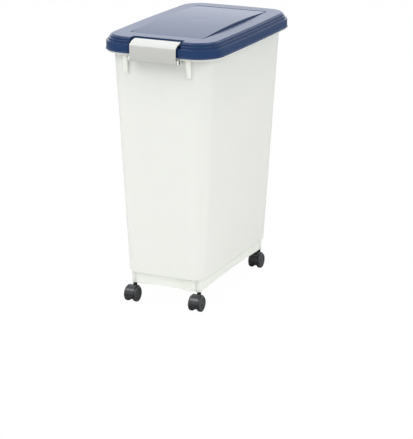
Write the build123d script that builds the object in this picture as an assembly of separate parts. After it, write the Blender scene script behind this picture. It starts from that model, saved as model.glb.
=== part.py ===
from build123d import *
import math
import os

# Wheeled food bin: a tall tapered tub on four twin-wheel casters, closed by a hinged lid with a seal and a
# front latch. Millimetres, +Z up, front towards -Y, origin on the floor at the middle of the footprint.

# Overall sizes
overall_height = 595.0
lid_width = 270.0
lid_depth = 452.0

# Outline of the lid, which the tub's rim and seal follow
corner_radius = 52.0
side_bow = 4.0

# Lid shell
lid_wall = 2.4
lip_height = 2.5
lip_step = 1.2
skirt_height = 16.0
tier_steps = (4.8, 3.5, 3.0)
tier_heights = (5.5, 5.0, 3.0)
panel_rise = 5.0
border_round = 2.2
panel_side_margin = 52.0
panel_front_margin = 66.0
panel_rear_margin = 54.0
panel_corner = 7.0
panel_sink = 0.4
groove_width = 2.2
groove_depth = 1.1

# Pocket in the lid's front that the latch lies in
pocket_half_width = 59.0
pocket_recess = 3.7
pocket_depth = 32.0
pocket_corner = 6.0
keeper_half_width = 50.0
keeper_back = 19.0
keeper_front = 13.0

# Seal
seal_inset = 8.8
seal_width = 4.0
seal_groove = 1.0
seal_side_gap = 0.1
seal_land = 1.2
rest_gap = 0.3

# Tub
tub_wall = 2.4
floor_thickness = 3.0
body_bottom = 66.0
rim_rise = 10.0
wall_inset_top = 18.1
wall_inset_bottom = 44.6
wall_radius_top = 35.0
wall_radius_bottom = 24.0
wall_bow_top = 3.5
wall_bow_bottom = 1.5
bottom_round = 5.0
rim_clearance = 1.0
rim_wall = 2.2
rim_height = 15.0
gusset_x = 72.0
gusset_width = 11.0
gusset_height = 40.0
gusset_reach = 9.0

# Foot under the tub
foot_step = 8.0
foot_wall = 2.6
foot_bottom = 41.0
foot_arch_front = 3.0
foot_arch_side = 4.0
foot_corner_flat = 34.0

# Latch
latch_half_width = 52.5
latch_proud = 4.0
latch_thickness = 2.4
latch_drop = 13.0
latch_pivot_back = 8.0
latch_pivot_drop = 9.0
latch_shoulder_gap = 1.0
latch_corner = 7.0
latch_cheek = 6.5
peg_radius = 2.5
ear_thickness = 4.0
ear_gap = 0.6
ear_round = 5.0
ear_brace = 18.0
cheek_round = 4.0
hook_clearance = 0.4
hook_radius = 36.1
hook_tip_gap = 0.9
hook_thickness = 2.0
hook_arc_front = 11.0
hook_top_drop = 2.0
latch_step_backs = (1.2, 5.5, 8.0, 16.0)
latch_step_rises = (2.4, 4.4, 6.6, 8.8)
latch_edge_round = 1.2
latch_inner_back = 1.0
latch_inner_rise = 3.4
latch_inner_drop = 1.5

# Rear hinge
hinge_proud = 4.0
hinge_drop = 9.0
hinge_x = 62.0
knuckle_width = 16.0
knuckle_radius = 4.6
bar_radius = 2.4
hinge_ear = 3.0
hinge_ear_radius = 4.2
hinge_side_gap = 0.4
knuckle_mouth = 3.6

# Fits
running_clearance = 0.05
press_clearance = 0.02

# Casters
stem_side_inset = 5.9
stem_end_inset = 10.7
caster_trail = 11.9
wheel_radius = 17.0
caster_half_width = 14.0
wheel_width = 8.0
wheel_round = 2.0
wheel_rim = 3.2
wheel_web = 2.4
hub_radius = 4.8
axle_radius = 2.0
axle_cover = 1.4
stem_radius = 4.0
stem_foot_radius = 2.8
stem_foot_drop = 19.0
stem_rise = 20.0
thrust_gap = 0.3
socket_radius = 6.6
socket_bottom = 40.3
neck_radius = 4.5
fender_clearance = 0.6
fender_thickness = 1.8
fender_half_width = 10.4
fender_rear_angle = 28.0
fender_front_angle = 203.0
web_half_width = 5.0
web_radius = 9.5
ring_groove_depth = 0.8
ring_groove_height = 5.0
ring_drop = 6.0
ring_slit = 1.6

# Values worked out from the sizes above
half_width = lid_width / 2
half_depth = lid_depth / 2
lip_bottom = overall_height - panel_rise - sum(tier_heights) - skirt_height - lip_height
rim_top = lip_bottom + rim_rise
rim_bottom = rim_top - rim_height
tier_bottoms = (lip_bottom + lip_height + skirt_height,
                lip_bottom + lip_height + skirt_height + tier_heights[0],
                lip_bottom + lip_height + skirt_height + tier_heights[0] + tier_heights[1])
tier_insets = (lip_step + tier_steps[0],
               lip_step + tier_steps[0] + tier_steps[1],
               lip_step + tier_steps[0] + tier_steps[1] + tier_steps[2])
border_top = tier_bottoms[2] + tier_heights[2]
pocket_floor = tier_bottoms[0]
land_height = pocket_floor - lid_wall
land_inset = seal_inset + seal_width + seal_land
skirt_inner_inset = lip_step + lid_wall
rim_inset = skirt_inner_inset + rim_clearance
panel_half_width = half_width - panel_side_margin
panel_front = half_depth - panel_front_margin
panel_rear = half_depth - panel_rear_margin
latch_front = half_depth + latch_proud
latch_bottom = lip_bottom - latch_drop
latch_pivot = (-(latch_front - latch_pivot_back), lip_bottom - latch_pivot_drop)
latch_shoulder = tier_bottoms[0] + latch_shoulder_gap
hinge_y = half_depth + hinge_proud - knuckle_radius
hinge_height = lip_bottom - hinge_drop
foot_inset = wall_inset_bottom + foot_step
stem_x = half_width - foot_inset - stem_side_inset
stem_y = half_depth - foot_inset - stem_end_inset
axle_height = wheel_radius
wheel_inner = caster_half_width - wheel_width


def outline(inset, radius, bow, height):
    """Rounded rectangle with four sides that bow outwards, drawn at a height, inset from the lid's lip."""
    reach_x = half_width - inset
    reach_y = half_depth - inset
    corner_x = reach_x - bow
    corner_y = reach_y - bow
    sides = [
        ThreePointArc((corner_x, -corner_y), (reach_x, 0), (corner_x, corner_y)),
        ThreePointArc((corner_x, corner_y), (0, reach_y), (-corner_x, corner_y)),
        ThreePointArc((-corner_x, corner_y), (-reach_x, 0), (-corner_x, -corner_y)),
        ThreePointArc((-corner_x, -corner_y), (0, -reach_y), (corner_x, -corner_y)),
    ]
    face = make_face(sides)
    return Pos(0, 0, height) * fillet(face.vertices(), radius)


def lid_prism(inset, bottom, top):
    """Upright prism that follows the lid's outline."""
    return extrude(outline(inset, corner_radius - inset, side_bow, bottom), top - bottom)


def block(x_low, x_high, y_low, y_high, z_low, z_high):
    """Box between two corners."""
    size = (x_high - x_low, y_high - y_low, z_high - z_low)
    middle = ((x_low + x_high) / 2, (y_low + y_high) / 2, (z_low + z_high) / 2)
    return Pos(*middle) * Box(*size)


def side_profile(face, x_low, x_high):
    """Solid from a face drawn as (y, z), running from x_low to x_high."""
    turned = Plane(origin=(x_low, 0, 0), x_dir=(0, 1, 0), z_dir=(1, 0, 0)) * face
    return extrude(turned, x_high - x_low)


def rod(radius, x_low, x_high, y, z):
    """Cylinder along X."""
    return Pos((x_low + x_high) / 2, y, z) * Rot(0, 90, 0) * Cylinder(radius, x_high - x_low)


def post(radius, z_low, z_high, x, y):
    """Upright cylinder."""
    return Pos(x, y, (z_low + z_high) / 2) * Cylinder(radius, z_high - z_low)


def panel_solid(drop, side_gap):
    """Arched panel of the lid, lowered by drop and narrowed by side_gap, down to the land."""
    front = -(panel_front - side_gap)
    rear = panel_rear - side_gap
    middle = (front + rear) / 2
    span = (rear - front) / 2
    rise = overall_height - border_top + panel_sink
    arch_radius = (span ** 2 + rise ** 2) / (2 * rise)
    crown = overall_height - drop
    wide_span = span + panel_corner
    end = crown - arch_radius + math.sqrt(arch_radius ** 2 - wide_span ** 2)
    near = middle - wide_span
    far = middle + wide_span
    arch = ThreePointArc((near, end), (middle, crown), (far, end))
    sides = Polyline((far, end), (far, land_height), (near, land_height), (near, end))
    half = panel_half_width - side_gap
    arched = side_profile(make_face([arch, sides]), -half - panel_corner, half + panel_corner)
    plan = Pos(0, middle, land_height) * RectangleRounded(2 * half, rear - front, panel_corner)
    return arched & extrude(plan, overall_height - land_height)


def pocket_cut(grow):
    """Room for the latch in the lid's front; grow makes the larger block that keeps the wall around it."""
    reach = half_depth + latch_proud
    back = half_depth - pocket_depth - grow * lid_wall
    half = pocket_half_width + grow * lid_wall
    face = half_depth - pocket_recess - grow * lid_wall
    plan = Pos(0, -(back + reach) / 2, pocket_floor - grow * lid_wall)
    plan = plan * RectangleRounded(2 * half, reach - back, pocket_corner)
    upper = extrude(plan, overall_height - pocket_floor + grow * lid_wall)
    lower = block(-half, half, -reach, -face, lip_bottom - lid_wall, pocket_floor)
    mouth = half_depth - pocket_corner - lip_step
    square = block(-half, half, -reach, -mouth, pocket_floor, overall_height)
    return upper + lower + square


def keeper():
    """Ridge in the pocket that the hook holds; its back is an arc about the latch's pivot."""
    radius = hook_radius - hook_clearance
    pivot_y, pivot_z = latch_pivot
    back = pivot_y + keeper_back
    front = pivot_y + keeper_front
    back_z = pivot_z + math.sqrt(radius ** 2 - keeper_back ** 2)
    front_z = pivot_z + math.sqrt(radius ** 2 - keeper_front ** 2)
    turn = (math.atan2(keeper_back, back_z - pivot_z) + math.atan2(keeper_front, front_z - pivot_z)) / 2
    middle = (pivot_y + radius * math.sin(turn), pivot_z + radius * math.cos(turn))
    arc = ThreePointArc((back, back_z), middle, (front, front_z))
    floor = pocket_floor - lid_wall / 2
    foot = Polyline((front, front_z), (front, floor), (back, floor), (back, back_z))
    return side_profile(make_face([arc, foot]), -keeper_half_width, keeper_half_width)


def knuckle(x):
    """Hook under the lid's rear lip that clips round the tub's hinge bar."""
    half = knuckle_width / 2
    ring = rod(knuckle_radius, x - half, x + half, hinge_y, hinge_height)
    neck = block(x - half, x + half, half_depth - skirt_inner_inset, hinge_y + knuckle_radius,
                 hinge_height, lip_bottom + lip_height)
    bore = rod(bar_radius + running_clearance, x - half - 1, x + half + 1, hinge_y, hinge_height)
    mouth = block(x - half - 1, x + half + 1, hinge_y - knuckle_mouth / 2, hinge_y + knuckle_mouth / 2,
                  hinge_height - 2 * knuckle_radius, hinge_height)
    return ring + neck - bore - mouth


def make_lid():
    """Navy lid: lip, skirt, three tiers, border, arched panel, latch pocket and rear hinge hooks."""
    skirt_bottom = lip_bottom + lip_height
    outer = lid_prism(0, lip_bottom, skirt_bottom)
    outer += lid_prism(lip_step, skirt_bottom, tier_bottoms[0])
    outer += lid_prism(tier_insets[0], tier_bottoms[0], tier_bottoms[1])
    outer += lid_prism(tier_insets[1], tier_bottoms[1], tier_bottoms[2])
    crest = lid_prism(tier_insets[2], tier_bottoms[2], border_top)
    outer += fillet(crest.edges().group_by(Axis.Z)[-1], border_round)
    channel = panel_solid(0, -groove_width)
    groove_floor = border_top - groove_depth
    channel &= block(-half_width, half_width, -half_depth, half_depth, groove_floor, overall_height)
    outer = outer - channel + panel_solid(0, 0)

    hollow = lid_prism(skirt_inner_inset, lip_bottom - 1, land_height)
    hollow += lid_prism(land_inset, land_height, tier_bottoms[2] - lid_wall)
    hollow += lid_prism(tier_insets[2] + lid_wall, tier_bottoms[2] - lid_wall, groove_floor - lid_wall)
    hollow += panel_solid(lid_wall, lid_wall)
    hollow -= pocket_cut(1)

    groove = lid_prism(seal_inset - seal_side_gap, land_height, land_height + seal_groove)
    groove -= lid_prism(seal_inset + seal_width + seal_side_gap, land_height, land_height + seal_groove)
    lid = outer - pocket_cut(0) - hollow - groove
    lid += keeper()
    for side in (-1, 1):
        lid += knuckle(side * hinge_x)
    return lid


def make_seal():
    """Soft ring in the groove of the lid's land, just above the tub's rim."""
    bottom = rim_top + rest_gap
    top = land_height + seal_groove
    return lid_prism(seal_inset, bottom, top) - lid_prism(seal_inset + seal_width, bottom, top)


def wall_loft(thickness, bottom, top):
    """Tapered body of the tub, inset by thickness, between two heights on the same slope."""
    def at(height):
        share = (height - body_bottom) / (rim_top - body_bottom)
        inset = wall_inset_bottom + share * (wall_inset_top - wall_inset_bottom) + thickness
        radius = wall_radius_bottom + share * (wall_radius_top - wall_radius_bottom) - thickness
        bow = wall_bow_bottom + share * (wall_bow_top - wall_bow_bottom)
        return outline(inset, radius, bow, height)
    return loft([at(bottom), at(top)], ruled=True)


def wall_inset(height):
    """How far inside the lid's lip the tub's outer wall is at a height."""
    share = (height - body_bottom) / (rim_top - body_bottom)
    return wall_inset_bottom + share * (wall_inset_top - wall_inset_bottom)


def rim():
    """Flange round the tub's mouth with its turned-down edge, set back where the latch lies."""
    reach = half_depth + latch_proud
    half = pocket_half_width + lid_wall + rim_clearance
    face = half_depth - pocket_recess - lid_wall - rim_clearance
    solid = lid_prism(rim_inset, rim_bottom, rim_top)
    solid -= block(-half, half, -reach, -face, rim_bottom, rim_top)
    hollow = lid_prism(rim_inset + rim_wall, rim_bottom, rim_top - rim_wall)
    hollow -= block(-half - rim_wall, half + rim_wall, -reach, -(face - rim_wall), rim_bottom, rim_top)
    return solid - hollow


def foot():
    """Upright skirt under the tub, arched up between its corners, with a socket at each corner."""
    radius = wall_radius_bottom - foot_step / 2
    skirt = extrude(outline(foot_inset, radius, wall_bow_bottom, foot_bottom), body_bottom - foot_bottom)
    skirt -= extrude(outline(foot_inset + foot_wall, radius - foot_wall, wall_bow_bottom, foot_bottom),
                     body_bottom - foot_bottom)
    half_x = half_width - foot_inset - foot_corner_flat
    half_y = half_depth - foot_inset - foot_corner_flat
    front_arch = make_face([ThreePointArc((-half_x, foot_bottom), (0, foot_bottom + foot_arch_front),
                                          (half_x, foot_bottom)),
                            Line((half_x, foot_bottom), (-half_x, foot_bottom))])
    side_arch = make_face([ThreePointArc((-half_y, foot_bottom), (0, foot_bottom + foot_arch_side),
                                         (half_y, foot_bottom)),
                           Line((half_y, foot_bottom), (-half_y, foot_bottom))])
    skirt -= extrude(Plane.XZ * front_arch, half_depth, both=True)
    skirt -= side_profile(side_arch, -half_width, half_width)
    return skirt


def gusset(x):
    """Tapered stiffener under the rim on the front wall."""
    top = rim_bottom + rim_wall
    bottom = top - gusset_height
    face_top = -(half_depth - wall_inset(top)) + tub_wall
    face_bottom = -(half_depth - wall_inset(bottom)) + tub_wall / 2
    nose = face_top - gusset_reach - tub_wall
    profile = make_face(Polyline((face_top, top), (nose, top), (face_bottom - tub_wall / 2, bottom),
                                 (face_bottom, bottom), (face_top, top)))
    wedge = side_profile(profile, x - gusset_width / 2, x + gusset_width / 2)
    front = make_face(Polyline((x - gusset_width / 2, top), (x + gusset_width / 2, top),
                               (x + gusset_width / 6, bottom), (x - gusset_width / 6, bottom),
                               (x - gusset_width / 2, top)))
    return wedge & extrude(Plane.XZ * front, half_depth)


def latch_ear(side):
    """Ear on the tub beside the latch, bored for the latch's peg."""
    inner = latch_half_width + ear_gap
    x_low = min(side * inner, side * (inner + ear_thickness))
    pivot_y, pivot_z = latch_pivot
    wall_y = -(half_depth - wall_inset(pivot_z)) + tub_wall / 2
    top = pivot_z + ear_round
    plate = make_face(Polyline((pivot_y, top), (wall_y, top), (wall_y, top - ear_brace),
                               (pivot_y, pivot_z - ear_round), (pivot_y, top)))
    ear = side_profile(plate, x_low, x_low + ear_thickness)
    ear += rod(ear_round, x_low, x_low + ear_thickness, pivot_y, pivot_z)
    return ear - rod(peg_radius + running_clearance, x_low - 1, x_low + ear_thickness + 1, pivot_y, pivot_z)


def hinge_station(x):
    """Two ears on the tub's rear with the bar between them that the lid's hook clips on."""
    half = knuckle_width / 2 + hinge_side_gap
    wall_y = half_depth - wall_inset(hinge_height) - tub_wall / 2
    top = hinge_height + hinge_ear_radius
    plate = make_face(Polyline((wall_y, top), (hinge_y, top), (hinge_y, hinge_height - hinge_ear_radius),
                               (wall_y, top - ear_brace), (wall_y, top)))
    station = rod(bar_radius, x - half - hinge_ear, x + half + hinge_ear, hinge_y, hinge_height)
    for low in (x - half - hinge_ear, x + half):
        station += side_profile(plate, low, low + hinge_ear)
        station += rod(hinge_ear_radius, low, low + hinge_ear, hinge_y, hinge_height)
    return station


def make_tub():
    """Translucent tub: tapered walls, floor, rim, foot with caster sockets, latch ears and hinge bars."""
    body = wall_loft(0, body_bottom, rim_top)
    body = fillet(body.edges().group_by(Axis.Z)[0], bottom_round)
    body += rim()
    for side in (-1, 1):
        body += gusset(side * gusset_x)
        body += latch_ear(side)
        body += hinge_station(side * hinge_x)
    floor_top = body_bottom + floor_thickness
    body -= wall_loft(tub_wall, floor_top, rim_top)
    body += foot()
    bore_top = socket_bottom + stem_rise + press_clearance
    for x, y in stem_places.values():
        body += post(socket_radius, socket_bottom, body_bottom + floor_thickness / 2, x, y)
        body -= post(stem_radius + press_clearance, socket_bottom, bore_top, x, y)
    return body


def make_latch():
    """Latch: front plate, stepped shoulder and hook, with a peg at each lower corner to pivot on."""
    pivot_y, pivot_z = latch_pivot
    front = -latch_front
    inner = front + latch_thickness
    hook_back = keeper_back + hook_tip_gap

    def on_arc(back):
        return (pivot_y + back, pivot_z + math.sqrt(hook_radius ** 2 - back ** 2))
    tip = on_arc(hook_back)
    heel = tip[0] + hook_thickness
    crown = border_top - hook_top_drop
    bands = [(front + back, latch_shoulder + rise) for back, rise in zip(latch_step_backs, latch_step_rises)]
    outside = Polyline((inner, latch_bottom), (front, latch_bottom + latch_edge_round),
                       (front, latch_shoulder), *bands, (tip[0] - latch_edge_round, crown),
                       (heel - latch_edge_round / 2, crown - latch_edge_round),
                       (heel, crown - latch_thickness), (heel, tip[1] + latch_edge_round / 2), tip)
    underside = ThreePointArc(tip, on_arc((hook_back + hook_arc_front) / 2), on_arc(hook_arc_front))
    inside = Polyline(on_arc(hook_arc_front), (pivot_y + latch_inner_back, latch_shoulder + latch_inner_rise),
                      (inner, latch_shoulder - latch_inner_drop), (inner, latch_bottom))
    latch = side_profile(make_face([outside, underside, inside]), -latch_half_width, latch_half_width)
    plan = Pos(0, (front + heel) / 2, latch_bottom)
    plan = plan * RectangleRounded(2 * latch_half_width, heel - front, latch_corner)
    rounded = extrude(plan, overall_height - latch_bottom)
    rounded += block(-latch_half_width, latch_half_width, front, -half_depth + latch_corner,
                     latch_bottom, overall_height)
    latch &= rounded
    for side in (-1, 1):
        x_low = min(side * latch_half_width, side * (latch_half_width - latch_cheek))
        cheek = rod(cheek_round, x_low, x_low + latch_cheek, pivot_y, pivot_z)
        cheek += block(x_low, x_low + latch_cheek, inner - 0.4, pivot_y,
                       pivot_z - cheek_round, pivot_z + cheek_round)
        peg_low = min(side * latch_half_width, side * (latch_half_width + ear_gap + ear_thickness))
        cheek += rod(peg_radius, peg_low, peg_low + ear_gap + ear_thickness, pivot_y, pivot_z)
        latch += cheek
    return latch


def make_stem(x, y):
    """Steel stem: thick shank pressed in the tub's socket, thin foot that the housing turns on."""
    top = socket_bottom + stem_rise
    foot_end = socket_bottom - stem_foot_drop
    stem = post(stem_radius, socket_bottom, top, x, y) + post(stem_foot_radius, foot_end, socket_bottom, x, y)
    low = top - ring_drop - ring_groove_height
    groove = post(stem_radius, low, low + ring_groove_height, x, y)
    groove -= post(stem_radius - ring_groove_depth, low, low + ring_groove_height, x, y)
    stem = stem - groove
    return chamfer(stem.edges().group_by(Axis.Z)[-1], ring_groove_depth)


def make_grip_ring(x, y):
    """Split spring ring in the stem's groove, which grips the socket."""
    top = socket_bottom + stem_rise - ring_drop - press_clearance
    low = socket_bottom + stem_rise - ring_drop - ring_groove_height + press_clearance
    ring = post(stem_radius, low, top, x, y)
    ring -= post(stem_radius - ring_groove_depth + press_clearance, low, top, x, y)
    return ring - block(x, x + 2 * stem_radius, y - ring_slit / 2, y + ring_slit / 2, low, top)


def fender_band(x, y):
    """Curved hood over the tops and the trailing side of both wheels."""
    inner = wheel_radius + fender_clearance
    outer = inner + fender_thickness
    axle_y = y - caster_trail

    def at(radius, angle):
        turn = math.radians(angle)
        return (axle_y + radius * math.cos(turn), axle_height + radius * math.sin(turn))
    middle = (fender_rear_angle + fender_front_angle) / 2
    band = make_face([
        ThreePointArc(at(outer, fender_rear_angle), at(outer, middle), at(outer, fender_front_angle)),
        Line(at(outer, fender_front_angle), at(inner, fender_front_angle)),
        ThreePointArc(at(inner, fender_front_angle), at(inner, middle), at(inner, fender_rear_angle)),
        Line(at(inner, fender_rear_angle), at(outer, fender_rear_angle)),
    ])
    return side_profile(band, x - fender_half_width, x + fender_half_width)


def make_housing(x, y):
    """Caster housing: hood, middle web with the axle bore, and the neck that turns on the stem."""
    axle_y = y - caster_trail
    inner = wheel_radius + fender_clearance
    neck_top = socket_bottom - thrust_gap
    housing = fender_band(x, y)
    web = rod(inner + fender_thickness / 2, x - web_half_width, x + web_half_width, axle_y, axle_height)
    web &= block(x - web_half_width, x + web_half_width, axle_y - 2 * inner, axle_y + 2 * inner,
                 axle_height - hub_radius, axle_height + 2 * inner)
    web += rod(web_radius, x - web_half_width, x + web_half_width, axle_y, axle_height)
    housing += web
    housing += post(web_half_width, axle_height - hub_radius, axle_height + web_radius, x, y)
    housing += post(neck_radius, axle_height, neck_top, x, y)
    bore_end = socket_bottom - stem_foot_drop - thrust_gap
    housing -= post(stem_foot_radius + running_clearance, bore_end, neck_top, x, y)
    return housing - rod(axle_radius + press_clearance, x - caster_half_width, x + caster_half_width,
                         axle_y, axle_height)


def make_axle(x, y):
    """Steel pin through the housing, ending inside both wheels."""
    reach = caster_half_width - axle_cover - rest_gap
    return rod(axle_radius, x - reach, x + reach, y - caster_trail, axle_height)


def make_wheel(x, y, side):
    """Moulded wheel, closed outside and hollow towards the housing, with a blind bore for the axle."""
    width = wheel_width
    tyre_inner = wheel_radius - wheel_rim
    wheel = Cylinder(wheel_radius, width)
    wheel = fillet(wheel.edges(), wheel_round)
    room = width - wheel_web
    hollow = Cylinder(tyre_inner, room) - Cylinder(hub_radius, room)
    wheel -= Pos(0, 0, -wheel_web / 2) * hollow
    bore_depth = width - axle_cover
    wheel -= Pos(0, 0, -axle_cover / 2) * Cylinder(axle_radius + running_clearance, bore_depth)
    wheel = Pos(0, 0, wheel_inner + width / 2) * wheel
    return Pos(x, y - caster_trail, axle_height) * Rot(0, side * 90, 0) * wheel


stem_places = {
    "front_left": (-stem_x, -stem_y),
    "front_right": (stem_x, -stem_y),
    "rear_left": (-stem_x, stem_y),
    "rear_right": (stem_x, stem_y),
}

nodes = {"tub": make_tub(), "lid": make_lid(), "lid_seal": make_seal(), "latch": make_latch()}
for corner, (stem_place_x, stem_place_y) in stem_places.items():
    nodes["caster_" + corner + "_stem"] = make_stem(stem_place_x, stem_place_y)
    nodes["caster_" + corner + "_grip_ring"] = make_grip_ring(stem_place_x, stem_place_y)
    nodes["caster_" + corner + "_housing"] = make_housing(stem_place_x, stem_place_y)
    nodes["caster_" + corner + "_axle"] = make_axle(stem_place_x, stem_place_y)
    nodes["caster_" + corner + "_wheel_left"] = make_wheel(stem_place_x, stem_place_y, -1)
    nodes["caster_" + corner + "_wheel_right"] = make_wheel(stem_place_x, stem_place_y, 1)

os.makedirs("parts", exist_ok=True)
for name, solid in nodes.items():
    export_step(solid, "parts/" + name + ".step")
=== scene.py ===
import math

import bmesh
import bpy
from mathutils import Matrix, Vector


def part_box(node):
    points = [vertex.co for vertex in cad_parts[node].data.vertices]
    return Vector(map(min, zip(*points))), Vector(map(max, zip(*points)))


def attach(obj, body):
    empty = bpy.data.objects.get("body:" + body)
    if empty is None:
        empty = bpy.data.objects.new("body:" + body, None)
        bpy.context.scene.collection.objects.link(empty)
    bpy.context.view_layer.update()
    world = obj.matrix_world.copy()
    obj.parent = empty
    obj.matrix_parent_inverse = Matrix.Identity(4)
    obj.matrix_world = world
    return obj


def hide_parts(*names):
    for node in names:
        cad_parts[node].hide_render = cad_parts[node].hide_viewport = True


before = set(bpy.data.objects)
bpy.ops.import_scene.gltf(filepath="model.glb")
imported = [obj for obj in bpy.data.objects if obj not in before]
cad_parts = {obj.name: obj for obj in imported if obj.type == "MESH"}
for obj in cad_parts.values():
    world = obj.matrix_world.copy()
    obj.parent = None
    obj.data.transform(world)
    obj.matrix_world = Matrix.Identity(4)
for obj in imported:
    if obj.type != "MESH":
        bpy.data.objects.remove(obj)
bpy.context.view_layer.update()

# Camera. It stands about four metres off, a quarter turn to the right of the front and fifteen degrees up,
# and looks a little below the bin's middle.
camera_azimuth = math.radians(24.7745)
camera_elevation = math.radians(15.0464)
camera_distance = 4.0036
camera_aim_height = 0.3
camera_turn = math.radians(-0.2541)
camera_tip = math.radians(2.1077)
camera_roll = math.radians(0.2639)
camera_lens = 149.55
camera_sensor = 36.0


def away(azimuth, elevation):
    """Unit vector from the bin towards a viewer, the azimuth counted from the front towards the right."""
    level = math.cos(elevation)
    return Vector((math.sin(azimuth) * level, -math.cos(azimuth) * level, math.sin(elevation)))


camera = bpy.data.objects.new("camera", bpy.data.cameras.new("camera"))
bpy.context.scene.collection.objects.link(camera)
bpy.context.scene.camera = camera
camera.data.lens = camera_lens
camera.data.sensor_width = camera_sensor
camera.data.clip_end = 100.0
look = -away(camera_azimuth + camera_turn, camera_elevation + camera_tip)
level_right = look.cross(Vector((0, 0, 1))).normalized()
level_up = level_right.cross(look)
rolled_right = level_right * math.cos(camera_roll) + level_up * math.sin(camera_roll)
rolled_up = level_up * math.cos(camera_roll) - level_right * math.sin(camera_roll)
stand = Vector((0, 0, camera_aim_height)) + away(camera_azimuth, camera_elevation) * camera_distance
facing = Matrix((rolled_right, rolled_up, -look)).transposed().to_4x4()
camera.matrix_world = Matrix.Translation(stand) @ facing

# Studio. A wide sheet of white paper under an even sky that is a little brighter behind the bin than before
# it, a large soft lamp high on the left and a weaker one on the right. Mirrored in the bin, the paper is
# darker and the sky brighter, which gives the lid its dark sides and pale top.
paper_reach = 14.0
paper_shade = (0.9, 0.9, 0.9, 1)
paper_glow = 0.985
mirrored_paper = (0.30, 0.32, 0.34, 1)
sky_before = (0.84, 0.85, 0.86, 1)
sky_behind = (0.99, 0.99, 1.0, 1)
sky_strength = 0.92
glossy_sky = (0.90, 0.93, 1.0, 1)
glossy_sky_strength = 1.35

paper_mesh = bmesh.new()
bmesh.ops.create_grid(paper_mesh, x_segments=1, y_segments=1, size=paper_reach)
paper_data = bpy.data.meshes.new("paper")
paper_mesh.to_mesh(paper_data)
paper_mesh.free()
paper = bpy.data.objects.new("paper", paper_data)
bpy.context.scene.collection.objects.link(paper)

paper_material = bpy.data.materials.new("white_paper")
paper_material.use_nodes = True
tree = paper_material.node_tree
tree.nodes.clear()
matte = tree.nodes.new("ShaderNodeBsdfDiffuse")
glow = tree.nodes.new("ShaderNodeEmission")
glow.inputs["Strength"].default_value = 1.0
paths = tree.nodes.new("ShaderNodeLightPath")
seen = tree.nodes.new("ShaderNodeMath")
seen.operation = "MULTIPLY"
seen.inputs[1].default_value = paper_glow
blend = tree.nodes.new("ShaderNodeMixShader")
output = tree.nodes.new("ShaderNodeOutputMaterial")
paper_tone = tree.nodes.new("ShaderNodeMix")
paper_tone.data_type = "RGBA"
paper_tone.inputs["A"].default_value = paper_shade
paper_tone.inputs["B"].default_value = mirrored_paper
tree.links.new(paths.outputs["Is Glossy Ray"], paper_tone.inputs["Factor"])
tree.links.new(paper_tone.outputs["Result"], matte.inputs["Color"])
tree.links.new(paths.outputs["Is Camera Ray"], seen.inputs[0])
tree.links.new(seen.outputs[0], blend.inputs[0])
tree.links.new(matte.outputs[0], blend.inputs[1])
tree.links.new(glow.outputs[0], blend.inputs[2])
tree.links.new(blend.outputs[0], output.inputs["Surface"])
paper_data.materials.append(paper_material)

sky_front_edge = -0.6
sky_rear_edge = 0.5
world = bpy.data.worlds.new("even_sky")
bpy.context.scene.world = world
world.use_nodes = True
tree = world.node_tree
tree.nodes.clear()
place = tree.nodes.new("ShaderNodeTexCoord")
parts = tree.nodes.new("ShaderNodeSeparateXYZ")
spread = tree.nodes.new("ShaderNodeMapRange")
spread.inputs["From Min"].default_value = sky_front_edge
spread.inputs["From Max"].default_value = sky_rear_edge
shade = tree.nodes.new("ShaderNodeMix")
shade.data_type = "RGBA"
shade.inputs["A"].default_value = sky_before
shade.inputs["B"].default_value = sky_behind
lit = tree.nodes.new("ShaderNodeBackground")
lit.inputs["Strength"].default_value = sky_strength
mirrored = tree.nodes.new("ShaderNodeBackground")
mirrored.inputs["Color"].default_value = glossy_sky
mirrored.inputs["Strength"].default_value = glossy_sky_strength
white = tree.nodes.new("ShaderNodeBackground")
white.inputs["Color"].default_value = (1, 1, 1, 1)
paths = tree.nodes.new("ShaderNodeLightPath")
glossy_blend = tree.nodes.new("ShaderNodeMixShader")
seen_blend = tree.nodes.new("ShaderNodeMixShader")
output = tree.nodes.new("ShaderNodeOutputWorld")
tree.links.new(place.outputs["Generated"], parts.inputs[0])
tree.links.new(parts.outputs["Y"], spread.inputs["Value"])
tree.links.new(spread.outputs["Result"], shade.inputs["Factor"])
tree.links.new(shade.outputs["Result"], lit.inputs["Color"])
tree.links.new(paths.outputs["Is Glossy Ray"], glossy_blend.inputs[0])
tree.links.new(lit.outputs[0], glossy_blend.inputs[1])
tree.links.new(mirrored.outputs[0], glossy_blend.inputs[2])
tree.links.new(paths.outputs["Is Camera Ray"], seen_blend.inputs[0])
tree.links.new(glossy_blend.outputs[0], seen_blend.inputs[1])
tree.links.new(white.outputs[0], seen_blend.inputs[2])
tree.links.new(seen_blend.outputs[0], output.inputs["Surface"])


def soft_lamp(name, azimuth, elevation, distance, size, power):
    """Square soft lamp aimed at the bin's middle."""
    lamp = bpy.data.objects.new(name, bpy.data.lights.new(name, "AREA"))
    lamp.data.shape = "SQUARE"
    lamp.data.size = size
    lamp.data.energy = power
    towards = away(math.radians(azimuth), math.radians(elevation))
    lamp.location = Vector((0, 0, camera_aim_height)) + towards * distance
    lamp.rotation_euler = towards.to_track_quat("Z", "Y").to_euler()
    bpy.context.scene.collection.objects.link(lamp)


soft_lamp("key_lamp", -28, 48, 2.6, 1.3, 22)
soft_lamp("side_lamp", 75, 30, 2.8, 1.2, 14)
bpy.context.scene.view_settings.view_transform = "Standard"

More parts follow.
